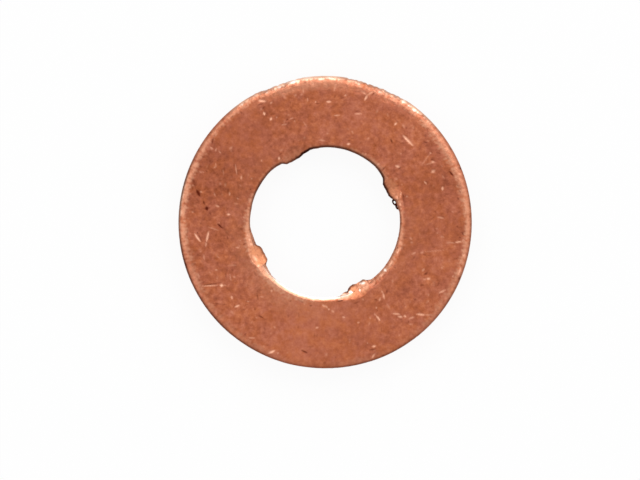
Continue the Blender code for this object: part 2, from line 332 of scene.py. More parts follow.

# The nicks and scratches, picked on eight enlarged strips of the photo, in each of which 45
# degrees of the ring lie unrolled with the rim at the top. A strip is named by the angle at its left
# edge. Each mark runs from one place to another, across and down in the strip's pixels. Then come
# half its width in pixels, and its strength.
BRIGHT_PICKS = {
    45: (
        (362, 285, 356, 318, 14, 0.8), (380, 262, 342, 395, 8, 0.25),
        (265, 258, 268, 272, 13, 0.45), (268, 275, 330, 435, 8, 0.25),
        (450, 322, 455, 372, 22, 0.5), (645, 305, 682, 322, 13, 0.8), (515, 490, 562, 478, 10, 0.5),
        (990, 350, 970, 435, 11, 0.35), (143, 692, 188, 668, 18, 0.7), (55, 552, 70, 552, 12, 0.3),
        (145, 200, 158, 205, 13, 0.3), (618, 745, 640, 755, 13, 0.3), (530, 797, 600, 822, 9, 0.5),
        (560, 860, 640, 864, 9, 0.6), (695, 850, 750, 852, 8, 0.6),
    ),
    90: (
        (15, 330, 62, 331, 13, 0.95), (205, 238, 215, 236, 12, 0.7), (421, 168, 415, 238, 11, 0.9),
        (350, 140, 415, 172, 13, 0.3), (462, 105, 425, 168, 13, 0.4), (345, 430, 430, 402, 9, 0.5),
        (115, 490, 182, 482, 9, 0.5), (358, 802, 402, 790, 13, 1), (618, 642, 630, 642, 13, 0.4),
        (370, 630, 405, 662, 9, 0.3), (880, 280, 920, 300, 10, 0.3), (985, 212, 992, 240, 10, 0.35),
        (695, 825, 715, 815, 10, 0.4), (955, 832, 995, 828, 11, 0.5), (105, 100, 90, 200, 12, 0.25),
        (680, 270, 706, 300, 10, 0.2),
    ),
    135: (
        (375, 112, 432, 162, 12, 0.95), (362, 265, 367, 302, 14, 1), (388, 388, 412, 366, 15, 0.95),
        (932, 325, 938, 326, 13, 0.85), (465, 210, 490, 200, 10, 0.5),
        (463, 388, 472, 392, 11, 0.4), (485, 500, 545, 512, 8, 0.4), (600, 470, 650, 465, 9, 0.3),
        (755, 545, 790, 610, 9, 0.25), (712, 735, 728, 735, 12, 0.3), (610, 160, 632, 220, 10, 0.3),
        (818, 160, 822, 210, 10, 0.3), (918, 100, 922, 125, 12, 0.4), (850, 270, 850, 312, 8, 0.3),
        (940, 785, 1036, 798, 9, 0.4),
    ),
    180: (
        (205, 450, 195, 495, 12, 0.5), (108, 598, 116, 635, 12, 0.8), (314, 250, 326, 250, 12, 0.5),
        (655, 575, 755, 500, 8, 0.4), (360, 592, 410, 578, 9, 0.45), (625, 646, 675, 632, 13, 0.45),
        (600, 290, 628, 312, 8, 0.35), (628, 310, 655, 285, 8, 0.35), (765, 130, 762, 180, 10, 0.5),
        (758, 210, 788, 205, 8, 0.45), (785, 230, 775, 280, 8, 0.35),
        (348, 690, 362, 692, 18, 0.25), (702, 750, 718, 752, 15, 0.3),
        (1014, 714, 1026, 716, 14, 0.45), (310, 425, 342, 405, 8, 0.3),
        (80, 800, 92, 800, 15, 0.45), (500, 140, 520, 210, 8, 0.3), (575, 440, 632, 400, 8, 0.2),
        (102, 175, 110, 202, 10, 0.3),
    ),
    225: (
        (42, 300, 25, 352, 12, 0.9), (130, 335, 162, 354, 11, 0.7), (307, 350, 292, 375, 10, 0.35),
        (340, 285, 405, 125, 9, 0.6), (835, 265, 926, 210, 12, 1), (775, 318, 825, 338, 9, 0.5),
        (820, 336, 936, 380, 11, 1), (500, 340, 490, 372, 11, 0.4), (640, 266, 700, 272, 10, 0.35),
        (300, 450, 382, 482, 8, 0.35), (610, 455, 640, 410, 8, 0.25), (985, 380, 940, 500, 9, 0.3),
        (660, 706, 680, 665, 9, 0.45), (490, 505, 445, 600, 11, 0.2), (485, 130, 530, 140, 9, 0.35),
        (728, 248, 742, 250, 9, 0.25), (756, 735, 764, 745, 10, 0.3), (262, 822, 298, 828, 18, 0.9),
        (640, 858, 682, 852, 10, 0.8), (728, 850, 755, 848, 9, 0.7), (805, 832, 835, 828, 11, 0.6),
    ),
    270: (
        (452, 115, 464, 115, 11, 0.5), (720, 160, 772, 125, 10, 0.45),
        (86, 518, 118, 515, 11, 0.55), (580, 375, 602, 396, 9, 0.35), (818, 370, 832, 374, 10, 0.3),
        (868, 725, 884, 750, 12, 0.5), (910, 620, 956, 600, 9, 0.3), (0, 770, 46, 796, 12, 0.6),
        (1014, 455, 1026, 457, 13, 0.5), (362, 155, 378, 156, 9, 0.25),
        (600, 118, 618, 132, 8, 0.3), (320, 765, 332, 768, 9, 0.25),
    ),
    315: (
        (560, 96, 596, 62, 11, 0.75), (523, 178, 556, 190, 13, 0.85),
        (361, 435, 373, 502, 11, 0.95), (374, 505, 386, 545, 9, 0.35),
        (100, 290, 110, 322, 11, 0.85), (128, 312, 166, 356, 12, 0.7), (132, 362, 196, 422, 9, 0.8),
        (166, 622, 130, 682, 12, 0.6), (130, 685, 124, 720, 10, 0.4),
        (200, 656, 236, 640, 12, 0.45), (312, 588, 326, 586, 12, 0.55),
        (600, 512, 624, 520, 11, 0.5), (765, 615, 797, 632, 12, 0.5),
        (905, 700, 937, 722, 11, 0.45), (968, 736, 992, 740, 11, 0.6),
        (1000, 755, 1036, 785, 12, 0.5), (38, 225, 92, 252, 11, 0.5), (104, 172, 126, 206, 9, 0.3),
        (755, 345, 768, 348, 13, 0.2), (588, 240, 592, 256, 9, 0.3), (20, 378, 32, 382, 10, 0.3),
        (184, 485, 180, 560, 12, 0.2), (265, 160, 278, 162, 11, 0.2), (660, 884, 722, 882, 7, 0.5),
    ),
    360: (
        (180, 125, 202, 207, 10, 0.85), (160, 98, 180, 130, 9, 0.5), (205, 210, 215, 292, 9, 0.35),
        (670, 122, 732, 178, 10, 0.65), (985, 150, 1036, 228, 11, 0.95),
        (944, 92, 985, 150, 9, 0.4), (648, 352, 665, 384, 13, 0.85), (665, 384, 692, 416, 9, 0.4),
        (575, 467, 612, 478, 12, 0.55), (481, 276, 493, 280, 12, 0.45),
        (519, 114, 531, 124, 12, 0.45), (796, 265, 816, 270, 14, 0.25),
        (384, 548, 410, 582, 10, 0.4), (418, 638, 466, 672, 10, 0.4), (290, 55, 316, 82, 11, 0.5),
        (420, 70, 490, 62, 9, 0.6), (290, 290, 382, 545, 7, 0.2), (408, 296, 422, 310, 12, 0.2),
        (65, 440, 78, 442, 10, 0.3), (292, 700, 302, 730, 17, 0.2), (430, 825, 560, 845, 8, 0.7),
        (680, 850, 785, 850, 9, 0.7), (950, 850, 1036, 855, 10, 0.7),
    ),
}

# The dark ones, given the same way
DARK_PICKS = {
    45: (
        (518, 170, 572, 148, 13, 1), (135, 250, 162, 224, 11, 0.6), (330, 165, 295, 207, 9, 0.35),
        (325, 268, 335, 312, 9, 0.6), (665, 133, 692, 124, 9, 0.5), (724, 129, 746, 119, 9, 0.6),
        (795, 165, 812, 150, 9, 0.6), (935, 150, 932, 187, 8, 0.4), (898, 450, 912, 460, 17, 0.35),
        (334, 572, 346, 572, 12, 0.4), (200, 655, 210, 697, 10, 0.6), (522, 30, 545, 30, 10, 0.95),
        (290, 38, 350, 36, 7, 0.5), (195, 24, 210, 24, 8, 0.5), (50, 790, 62, 852, 11, 0.5),
        (575, 783, 700, 800, 8, 0.6), (630, 225, 646, 262, 8, 0.4), (560, 430, 602, 442, 11, 0.3),
        (824, 385, 836, 385, 11, 0.3), (965, 465, 1000, 512, 8, 0.4), (490, 388, 502, 394, 12, 0.3),
        (850, 25, 905, 27, 8, 0.5), (970, 35, 990, 45, 8, 0.6),
    ),
    90: (
        (878, 505, 928, 532, 10, 0.9), (800, 294, 835, 294, 8, 0.55), (160, 276, 206, 268, 8, 0.55),
        (345, 396, 402, 382, 7, 0.5), (115, 516, 156, 518, 7, 0.5), (490, 96, 455, 167, 6, 0.6),
        (960, 465, 1010, 467, 7, 0.25), (920, 264, 946, 292, 8, 0.35), (360, 760, 392, 750, 9, 0.5),
        (388, 725, 432, 710, 8, 0.3), (725, 667, 802, 682, 10, 0.25), (214, 380, 230, 422, 9, 0.25),
        (105, 240, 103, 282, 6, 0.4), (996, 346, 1004, 358, 9, 0.4), (204, 120, 216, 142, 8, 0.35),
        (150, 150, 168, 152, 8, 0.3), (535, 480, 548, 482, 12, 0.2),
    ),
    135: (
        (362, 222, 408, 216, 10, 0.65), (345, 156, 397, 172, 8, 0.55), (393, 285, 399, 312, 7, 0.5),
        (557, 470, 584, 460, 10, 0.7), (420, 330, 472, 346, 8, 0.4), (935, 348, 967, 353, 8, 0.5),
        (682, 385, 698, 386, 9, 0.4), (592, 365, 608, 366, 9, 0.35), (665, 268, 665, 302, 8, 0.4),
        (75, 92, 96, 96, 12, 0.5), (170, 100, 186, 157, 8, 0.4), (838, 86, 862, 75, 9, 0.5),
        (990, 198, 988, 236, 7, 0.4), (698, 205, 702, 262, 6, 0.35), (240, 796, 302, 800, 9, 0.4),
        (388, 448, 402, 452, 18, 0.25), (650, 340, 660, 350, 9, 0.3),
        # The first two marks on the line below are painted shadow, in the gap under the second nib's
        # lip
        (590, 897, 645, 899, 11, 1.05), (650, 891, 745, 880, 10, 1.05), (690, 96, 760, 94, 8, 0.35),
    ),
    180: (
        (93, 406, 127, 384, 12, 0.5), (365, 190, 380, 237, 13, 0.35), (214, 108, 246, 157, 9, 0.4),
        (800, 128, 856, 100, 12, 0.6), (868, 76, 882, 90, 9, 0.5), (872, 36, 888, 34, 8, 0.6),
        (534, 232, 546, 238, 11, 0.6), (452, 254, 468, 258, 9, 0.3), (848, 350, 880, 397, 10, 0.3),
        (528, 298, 562, 332, 9, 0.35), (622, 108, 662, 132, 9, 0.3), (978, 84, 994, 92, 12, 0.5),
        (1004, 110, 1016, 120, 9, 0.4), (0, 295, 10, 297, 10, 0.5), (530, 795, 582, 805, 7, 0.5),
        (30, 780, 270, 782, 7, 0.35), (265, 310, 260, 402, 6, 0.3), (290, 450, 346, 430, 6, 0.2),
        (700, 680, 712, 684, 12, 0.25), (486, 290, 498, 294, 8, 0.3),
    ),
    225: (
        (828, 292, 902, 262, 6, 0.65), (918, 250, 942, 240, 9, 0.65), (408, 140, 350, 322, 9, 0.5),
        (962, 548, 1022, 488, 12, 0.9), (808, 600, 862, 590, 12, 0.4),
        (405, 526, 418, 534, 10, 0.5), (420, 460, 472, 490, 8, 0.3), (340, 413, 422, 442, 7, 0.4),
        (552, 396, 570, 404, 13, 0.35), (680, 760, 702, 792, 9, 0.5), (163, 735, 242, 746, 9, 0.4),
        (20, 655, 42, 657, 11, 0.3), (70, 770, 84, 772, 9, 0.3), (1018, 290, 1034, 292, 10, 0.5),
        (924, 440, 936, 458, 8, 0.4), (220, 110, 120, 242, 5, 0.35), (180, 126, 192, 130, 9, 0.35),
        (888, 110, 972, 135, 9, 0.3), (812, 90, 826, 92, 8, 0.4), (628, 33, 682, 33, 8, 0.6),
    ),
    270: (
        (178, 200, 242, 226, 10, 0.85), (120, 286, 182, 274, 8, 0.4),
        (758, 415, 822, 408, 10, 0.65), (884, 433, 912, 457, 9, 0.5), (668, 304, 697, 327, 9, 0.45),
        (934, 548, 1018, 602, 9, 0.6), (984, 352, 998, 360, 13, 0.4),
        (994, 420, 1008, 430, 10, 0.4), (820, 333, 832, 337, 9, 0.4), (768, 252, 812, 224, 8, 0.3),
        (540, 748, 552, 754, 13, 0.5), (203, 768, 247, 764, 9, 0.5), (338, 784, 452, 800, 8, 0.4),
        (812, 98, 818, 152, 8, 0.5), (574, 148, 588, 154, 9, 0.4), (322, 480, 338, 484, 17, 0.25),
        (120, 400, 126, 442, 9, 0.3), (484, 558, 506, 592, 8, 0.3), (350, 590, 380, 662, 6, 0.3),
        (508, 360, 552, 396, 7, 0.3), (884, 770, 898, 772, 9, 0.3), (632, 55, 648, 57, 8, 0.3),
    ),
    315: (
        (538, 150, 592, 160, 9, 0.75), (602, 105, 608, 128, 8, 0.4), (110, 224, 122, 228, 10, 0.6),
        (148, 294, 178, 322, 8, 0.4), (395, 428, 385, 482, 8, 0.4), (254, 655, 278, 682, 9, 0.6),
        (240, 738, 252, 744, 11, 0.5), (48, 682, 97, 654, 11, 0.5), (98, 820, 182, 818, 8, 0.6),
        (498, 745, 602, 750, 9, 0.5), (700, 815, 852, 828, 8, 0.8), (325, 553, 337, 558, 9, 0.5),
        (225, 500, 290, 602, 9, 0.3), (682, 262, 700, 268, 20, 0.25), (770, 378, 782, 384, 9, 0.35),
        (485, 40, 505, 40, 8, 0.6), (405, 310, 390, 352, 8, 0.3), (930, 150, 940, 172, 9, 0.25),
        (545, 930, 588, 932, 9, 0.9),
    ),
    360: (
        (90, 136, 127, 110, 9, 0.5), (140, 144, 150, 160, 11, 0.6), (34, 192, 48, 198, 11, 0.5),
        (344, 128, 372, 187, 9, 0.4), (600, 414, 642, 442, 11, 0.7), (744, 374, 767, 417, 11, 0.6),
        (738, 150, 743, 172, 8, 0.6), (700, 318, 712, 322, 8, 0.4), (586, 352, 596, 358, 8, 0.3),
        (630, 230, 682, 240, 11, 0.4), (470, 629, 517, 641, 12, 0.4), (404, 460, 416, 542, 8, 0.4),
        (748, 778, 762, 784, 13, 0.6), (600, 690, 702, 668, 8, 0.2), (63, 470, 102, 455, 8, 0.35),
        (200, 512, 212, 520, 9, 0.4), (768, 530, 784, 534, 11, 0.3), (240, 780, 262, 822, 9, 0.4),
        (370, 780, 452, 802, 8, 0.3), (424, 856, 456, 860, 8, 0.7), (828, 826, 882, 800, 8, 0.5),
        (920, 826, 1036, 830, 6, 0.5), (875, 172, 896, 120, 8, 0.25), (508, 38, 532, 38, 10, 1),
    ),
}

# How many of the strips' pixels make a degree, and in mm where the first row lies from the axis, how
# large a pixel is, and how much one counts in a half width, which is less as the edges are soft
STRIP_DEGREE = 23.02
STRIP_TOP = 7.585
STRIP_PIXEL = 0.004271
SOFT_PIXEL = 0.0036


def picked(strips):
    """The marks of the strips, in degrees and mm, as closely as the eye can pick them."""
    marks = []
    for left, strip in strips.items():
        for *places, half_width, strength in strip:
            turns = [round((left - across / STRIP_DEGREE) % 360, 1) for across in places[::2]]
            radii = [round(STRIP_TOP - down * STRIP_PIXEL, 2) for down in places[1::2]]
            half_width = round(half_width * SOFT_PIXEL, 3)
            marks.append((turns[0], radii[0], turns[1], radii[1], half_width, strength))
    return marks


# All the marks, with a few more that were placed in degrees and mm from the axis, with half their
# width in mm
BRIGHT_MARKS = picked(BRIGHT_PICKS) + [
    (48.1, 5.97, 41.3, 5.96, 0.054, 1), (54.7, 6.19, 54.3, 6.19, 0.07, 1.15),
    (126.3, 3.99, 125, 4.08, 0.05, 0.85), (209.9, 3.99, 204.5, 4.05, 0.075, 0.55),
    (211.6, 6.13, 210.9, 6.24, 0.075, 1.1), (248.5, 7.02, 246.7, 7.27, 0.05, 1.2),
    (296.5, 3.75, 299, 3.8, 0.05, 0.5),
]
DARK_MARKS = picked(DARK_PICKS) + [
    (164.9, 6.85, 161.2, 7.17, 0.095, 0.5), (168.1, 6.54, 165.8, 6.76, 0.08, 1.2),
    (171.5, 6.22, 169.8, 6.33, 0.048, 0.7), (174, 6.06, 172.4, 6.11, 0.095, 1.2),
]

# Painted glints: the few spots coloured near white as the reflection of a lamp, given the same way
PAINTED_GLINTS = (
    (50.2, 7.38, 49.6, 7.36, 0.045, 0.5), (52.3, 7.33, 50.9, 7.33, 0.050, 0.75),
    (54.5, 7.36, 54.0, 7.34, 0.045, 0.6), (57.6, 7.39, 56.4, 7.38, 0.050, 0.8),
    (68.0, 7.24, 66.5, 7.22, 0.040, 0.25), (76.6, 7.28, 76.0, 7.28, 0.045, 0.25),
    (89.4, 7.42, 87.4, 7.42, 0.045, 0.55), (92.8, 7.33, 90.5, 7.33, 0.040, 0.4),
    (98.5, 7.45, 95.5, 7.45, 0.035, 0.5), (104.2, 7.35, 101.2, 7.42, 0.065, 1),
    (109.4, 7.31, 108.0, 7.30, 0.050, 0.9), (114.5, 7.28, 113.7, 7.28, 0.040, 0.3),
    (119.0, 7.41, 118.6, 7.42, 0.040, 0.4), (125.5, 7.38, 124.7, 7.38, 0.045, 0.4),
    (291.4, 3.825, 289.0, 3.765, 0.058, 1.3), (297.5, 3.885, 296.9, 3.88, 0.060, 1.1),
    (303.6, 3.69, 299.9, 3.59, 0.048, 1.3), (322.4, 3.92, 320.9, 3.90, 0.065, 1.1),
)
MARK_DEPTH = 0.012 * MM

# The points as they lie seen from above, in mm, those that a mark can reach, and those whose wear is
# broken up by fine noise
flat = np.stack((radius * np.cos(np.radians(turn)), radius * np.sin(np.radians(turn))), axis=1) / MM
upwards = (blank_height > rim_top) | (in_bore & (share < LIP_SHARE + 0.05))
face = blank_height > rim_top - 0.3 * MM
broken = uneven(from_above, 0.08 * MM, 8, face)


def closeness(mark):
    """A mark's strength on its line, thinner and fainter towards its ends, and 0 away from it."""
    from_turn, from_radius, to_turn, to_radius, half_width, strength = mark
    ends = np.radians((from_turn, to_turn))
    ends = np.stack((np.cos(ends), np.sin(ends)), axis=1) * np.array([[from_radius], [to_radius]])
    way = ends[1] - ends[0]
    offset = flat - ends[0]
    along = np.clip(offset @ way / (way @ way), 0, 1)
    apart = np.hypot(*(offset - along[:, None] * way).T)
    taper = 1 - 0.5 * (2 * along - 1) ** 2
    return strength * taper * np.exp(-((apart / (half_width * taper)) ** 2))


def lay(marks, ragged):
    """The strongest of these marks at each point of the face, broken up as far as ragged says."""
    found = np.zeros(len(turn))
    for mark in marks:
        found = np.maximum(found, closeness(mark))
    return found * np.clip(1 + ragged * broken, 0.2, 1.2) * upwards


# How likely a faint nick is round the ring, and where the face that takes them starts and ends in mm
MARKED = (
    (15, 0.6), (45, 1), (75, 0.35), (105, 0.8), (135, 0.4), (165, 0.9), (195, 1), (225, 0.8),
    (255, 0.25), (285, 0.4), (315, 1), (345, 0.7),
)
FACE_FROM = 4.1
FACE_TO = 7.3


def faint_marks(count, seed, strongest):
    """Random small nicks all over the face, in the way that the others are given."""
    pick = np.random.default_rng(seed)
    marks = []
    for _ in range(count):
        start = pick.uniform(-FACE_TO, FACE_TO, 2)
        far = np.hypot(*start)
        angle = math.degrees(math.atan2(start[1], start[0])) % 360
        likely = np.interp(angle, *zip(*MARKED), period=360)
        if not FACE_FROM < far < FACE_TO or pick.random() > likely:
            continue
        heading = pick.uniform(0, math.pi)
        end = start + pick.uniform(0.02, 0.22) * np.array([math.cos(heading), math.sin(heading)])
        turns = np.degrees(np.arctan2([start[1], end[1]], [start[0], end[0]]))
        strength = strongest * pick.uniform(0.25, 1) ** 2
        half_width = pick.uniform(0.030, 0.070)
        marks.append((turns[0], far, turns[1], np.hypot(*end), half_width, strength))
    return marks


burnish_and_sheen = lay(BRIGHT_MARKS, ragged=0.35)
burnish_and_sheen = np.maximum(burnish_and_sheen, lay(faint_marks(460, 11, 0.28), ragged=1))
tarnish_and_shade = np.clip(1.25 * lay(DARK_MARKS, ragged=0.35), 0, 1)
tarnish_and_shade = np.maximum(tarnish_and_shade, lay(faint_marks(460, 12, 0.4), ragged=1))
painted_glint = np.clip(lay(PAINTED_GLINTS, ragged=0.2), 0, 1)
height -= MARK_DEPTH * (burnish_and_sheen + tarnish_and_shade)

# Where the raised edges are rubbed to clean copper, in mm from the axis, how strongly, and how
# strong the haze of fine rubbing beside them is. Both are strongest where the edges face the lamps,
# and there they are painted highlight as well as wear.
RIM_RUB_AND_HIGHLIGHT_FROM = (
    (0, 7.05), (15, 6.94), (30, 6.86), (45, 7.00), (60, 6.99), (75, 7.06), (90, 7.12), (105, 7.10),
    (120, 7.08), (135, 7.11), (150, 7.03), (165, 7.06), (180, 7.04), (195, 6.90), (210, 6.98),
    (225, 7.03), (270, 7.08), (330, 7.06), (345, 7.04),
)
RIM_RUB_AND_HIGHLIGHT = (
    (0, 0.8), (15, 0.8), (30, 0.75), (45, 0.85), (60, 0.55), (75, 0.7), (90, 0.85), (105, 0.8),
    (120, 0.9), (135, 0.75), (150, 0.85), (165, 1.05), (180, 1.05), (195, 0.5), (210, 0.45),
    (225, 0.25), (240, 0.35), (255, 0), (270, 0.05), (285, 0.25), (300, 0), (315, 0.35), (330, 0.6),
    (345, 0.8),
)
RIM_HIGHLIGHT_HAZE = ((60, 0.1), (75, 0.2), (88, 0.5), (107, 0.5), (118, 0.2), (130, 0), (350, 0))
BORE_RUB_AND_HIGHLIGHT_TO = (
    (0, 4.14), (15, 4.10), (30, 4.08), (45, 4.14), (60, 4.13), (90, 4.02), (135, 4.05), (150, 4.07),
    (165, 4.14), (180, 4.23), (195, 4.35), (215, 4.40), (240, 4.40), (256, 4.34), (266, 4.02),
    (274, 3.98), (285, 4.16), (300, 4.06), (315, 4.10), (330, 4.17), (345, 4.20),
)
BORE_RUB_AND_HIGHLIGHT = (
    (0, 0.9), (17, 0.9), (24, 0.3), (33, 0.25), (38, 0.6), (45, 0.95), (60, 0.85), (75, 0.6),
    (90, 0.3), (105, 0.3), (120, 0.3), (135, 0.7), (150, 0.35), (163, 0.9), (180, 0.95), (200, 1.1),
    (250, 0.95), (262, 0.8), (270, 0.6), (300, 1), (315, 1.2), (345, 1),
)
BORE_HIGHLIGHT_HAZE = (
    (0, 0.08), (15, 0), (60, 0), (150, 0.04), (180, 0.08), (210, 0.2), (240, 0.28), (262, 0.12),
    (285, 0.04), (345, 0.04),
)

# How much the two noises below change the strength
PATCHY = 0.8
frayed = uneven(from_above, 0.11 * MM, 5, face) + 0.5 * uneven(from_above, 0.45 * MM, 6, face)

# The rim is rubbed in short strokes that point outwards, about 0.1 mm apart
spokes = from_above / blank_radius[:, None] * OUTER_RADIUS
spokes[:, 2] = 0.2 * blank_radius
streaked = uneven(spokes, 0.11 * MM, 10, face & (blank_radius > 6.6 * MM))

# Each strength below fades in between two places in mm, which the noises push to and fro. The rim's
# rubbing and its painted highlight are weaker again down its rounding.
blank_mm = blank_radius / MM
radius_mm = radius / MM
rub_and_highlight_from = around(RIM_RUB_AND_HIGHLIGHT_FROM)
edge_in = rise(blank_mm + 0.10 * frayed + 0.10 * streaked, rub_and_highlight_from, rub_and_highlight_from + 0.20)
edge_in *= 1 - 0.5 * rise(blank_mm, 7.22, 7.42)
rub_and_highlight_to = around(BORE_RUB_AND_HIGHLIGHT_TO)
edge_out = rise(radius_mm - 0.12 * frayed, rub_and_highlight_to, rub_and_highlight_to - 0.28)
rim_patches = np.clip(0.92 + PATCHY * (streaked + frayed), 0.1, 1.35)
bore_patches = np.clip(0.95 + PATCHY * frayed, 0.3, 1.2)
rim_highlight_haze = rise(blank_mm, 6.70, 7.00) * np.clip(1 + PATCHY * streaked, 0.3, 1.3)
bore_highlight_haze = rise(radius_mm, 5.3, 4.5) * np.clip(1 + PATCHY * frayed, 0.3, 1.5)
rub_and_highlight = np.maximum.reduce((
    edge_in * around(RIM_RUB_AND_HIGHLIGHT) * rim_patches,
    edge_out * around(BORE_RUB_AND_HIGHLIGHT) * bore_patches,
    rim_highlight_haze * around(RIM_HIGHLIGHT_HAZE),
    bore_highlight_haze * around(BORE_HIGHLIGHT_HAZE),
))
rub_and_highlight = np.clip(rub_and_highlight * upper, 0, 1)

# The pins bared fresh copper in the dents, which is more orange. In the two dents that face the
# back softbox it is stronger as painted highlight, and near the fourth nib's lip a painted highlight
# is added to the burnish.
FRESH_COPPER_AND_SHEEN = (
    (18, 0.2), (25, 0.5), (33, 0.5), (45, 0), (90, 0), (115, 0.15), (150, 0), (190, 0.9), (220, 0.9),
    (280, 0.5), (292, 0.9), (310, 0.9),
)
LIP_PAINTED_HIGHLIGHT = ((292, 0), (298, 0.15), (301, 0.4), (308, 0.4), (312, 0))
in_dent = rise(into_dent + 0.05 * frayed, 0, 0.15) * (into_dent > 0)
fresh_copper_and_sheen = np.clip(in_dent * around(FRESH_COPPER_AND_SHEEN) * (0.9 + 0.4 * frayed), 0, 1)
near_lip = rise(radius_mm, 4.08, 3.96)
burnish_and_sheen = np.maximum(burnish_and_sheen, in_dent * near_lip * around(LIP_PAINTED_HIGHLIGHT) * (1 + 0.4 * frayed))

# The brightest edges, which other washers struck and polished, with a painted highlight where
# they face the lamps: degrees and strength. At the bore, also how far in mm from the axis that
# reaches.
RIM_PAINTED_HIGHLIGHT = (
    (36, 0), (44, 0.3), (50, 0.7), (53, 0.8), (55, 0.5), (57, 0.9), (59, 0.4), (64, 0.35), (67, 0.5),
    (69, 0.2), (73, 0.2), (76, 0.5), (79, 0.35), (83, 0.4), (86, 0.9), (91, 0.7), (96, 0.9),
    (100, 0.8), (102, 1), (104, 0.9), (106, 0.4), (108.5, 0.9), (111, 0.4), (114, 0.2), (118, 0.35),
    (121, 0.3), (124, 0.6), (128, 0.25), (132, 0), (160, 0), (166, 0.5), (178, 0.3), (190, 0),
)
BORE_PAINTED_HIGHLIGHT = (
    (214, 0), (220, 0.2), (225, 0.3), (231, 0.5), (240, 0.75), (250, 0.9), (262, 1), (274, 0.9),
    (281, 0.8), (285, 0.6), (289, 0.3), (291, 0),
)
BORE_PAINTED_HIGHLIGHT_TO = ((215, 4.12), (230, 4.09), (247, 4.06), (256, 4.02), (275, 4.01), (285, 4.08))
rim_painted_highlight = around(RIM_PAINTED_HIGHLIGHT)
rim_painted_highlight *= rise(blank_mm + 0.06 * rim_painted_highlight + 0.10 * streaked, 7.36, 7.44)
bore_painted_highlight = around(BORE_PAINTED_HIGHLIGHT) * rise(blank_mm - 0.05 * frayed, around(BORE_PAINTED_HIGHLIGHT_TO), 3.88)
polish_and_painted_highlight = np.clip(np.maximum(rim_painted_highlight + bore_painted_highlight, painted_glint) * upper, 0, 1)
# Painted glint: the bore's edge where it faces the back softbox is coloured near white
lip_painted_glint = around(BORE_PAINTED_HIGHLIGHT) * rise(radius_mm, 3.93, 3.88)
lip_painted_glint *= rise(blank_height, bore_top - 0.06 * MM, bore_top)
painted_glint = np.maximum(painted_glint, lip_painted_glint)

# Painted shade: a dark line where the rounding meets the cut, for the dark that the steep edges
# reflect and the shadow under the lips. It fades where the edges face the lamps.
RIM_EDGE_SHADE = (
    (0, 0.20), (15, 0), (120, 0), (135, 0.05), (150, 0.12), (165, 0.75), (180, 0.55), (195, 0.72),
    (210, 0.62), (225, 0.58), (240, 0.6), (255, 0.34), (270, 0.42), (285, 0.52), (300, 0.46),
    (315, 0.34), (330, 0.34), (345, 0.2),
)
BORE_EDGE_SHADE = (
    (0, 0.38), (10, 0.25), (16, 0.2), (19, 0.6), (21, 0.95), (32, 0.95), (45, 0.85), (60, 0.75),
    (95, 0.8), (101, 1), (111, 1), (115, 0.75), (128, 0.7), (135, 0.6), (150, 0.7), (165, 0.5),
    (180, 0.2), (190, 0.3), (198, 0.6), (213, 0.6), (217, 0.2), (221, 0), (284, 0), (286, 0.6),
    (289, 0.8), (294.5, 0.8), (296, 0), (299.5, 0), (301, 0.6), (304.5, 0.6), (305.5, 0.1), (315, 0),
    (330, 0.05), (345, 0.28),
)
bore_edge_shade = around(BORE_EDGE_SHADE)
free_edge = (BORE_RADIUS - stand) / MM + around(BORE_WORN)
line_width = 0.045 + 0.045 * bore_edge_shade
rim_line = around(RIM_EDGE_SHADE) * rise(blank_mm, 7.375, 7.435)
bore_line = bore_edge_shade * rise(radius_mm - free_edge - line_width, 0.07, 0)

# The line ends a little way down the wall, and on a nib where its belly starts
down_rim = rise(blank_height, rim_top - 0.12 * MM, rim_top)
down_bore = rise(blank_height, bore_top - 0.20 * MM, bore_top - 0.05 * MM)
down_bore += (rise(share, LIP_SHARE + 0.2, LIP_SHARE) - down_bore) * on_nib
painted_edge_shade = np.maximum(rim_line * down_rim, bore_line * down_bore)

# Below it the walls are bare, and dull where they tore. On the cut part a painted highlight lies on
# top of the scores and painted shade in them, following their relief.
cut_wall = np.where(steep, 1 - np.minimum(down_rim, down_bore), 0.0)
scored = cut_wall * (1 - torn) * scores
rub_and_highlight = np.maximum(rub_and_highlight, np.clip(0.5 * scored, 0, 0.5))
tarnish_and_shade = np.maximum(tarnish_and_shade, np.clip(-0.6 * scored, 0, 0.5))
tarnish_and_shade = np.maximum(tarnish_and_shade, steep * torn * (0.25 + np.clip(0.6 * tears, -0.25, 0.4)))

# The dented copper isn't quite even
DENT_ROUGHNESS = 0.010 * MM
height += DENT_ROUGHNESS * uneven(place, 0.11 * MM, 7, into_dent > 0)

# Nothing stands out past the blank it was cut from
radius = np.minimum(radius, OUTER_RADIUS)
height = np.clip(height, 0, THICKNESS)
place[:, 0] = radius * np.cos(np.radians(turn))
place[:, 1] = radius * np.sin(np.radians(turn))
place[:, 2] = height
washer.data.vertices.foreach_set("co", place.ravel())
washer.data.shade_smooth()
washer.data.update()

# How dark the face is round the ring, more on one side than on the other
SHADE = (
    (0, 0.45), (15, 0.39), (45, 0.51), (75, 0.53), (105, 0.44), (135, 0.44), (158, 0.31), (175, 0.42),
    (195, 0.50), (225, 0.50), (255, 0.63), (285, 0.53), (315, 0.54), (345, 0.51),
)

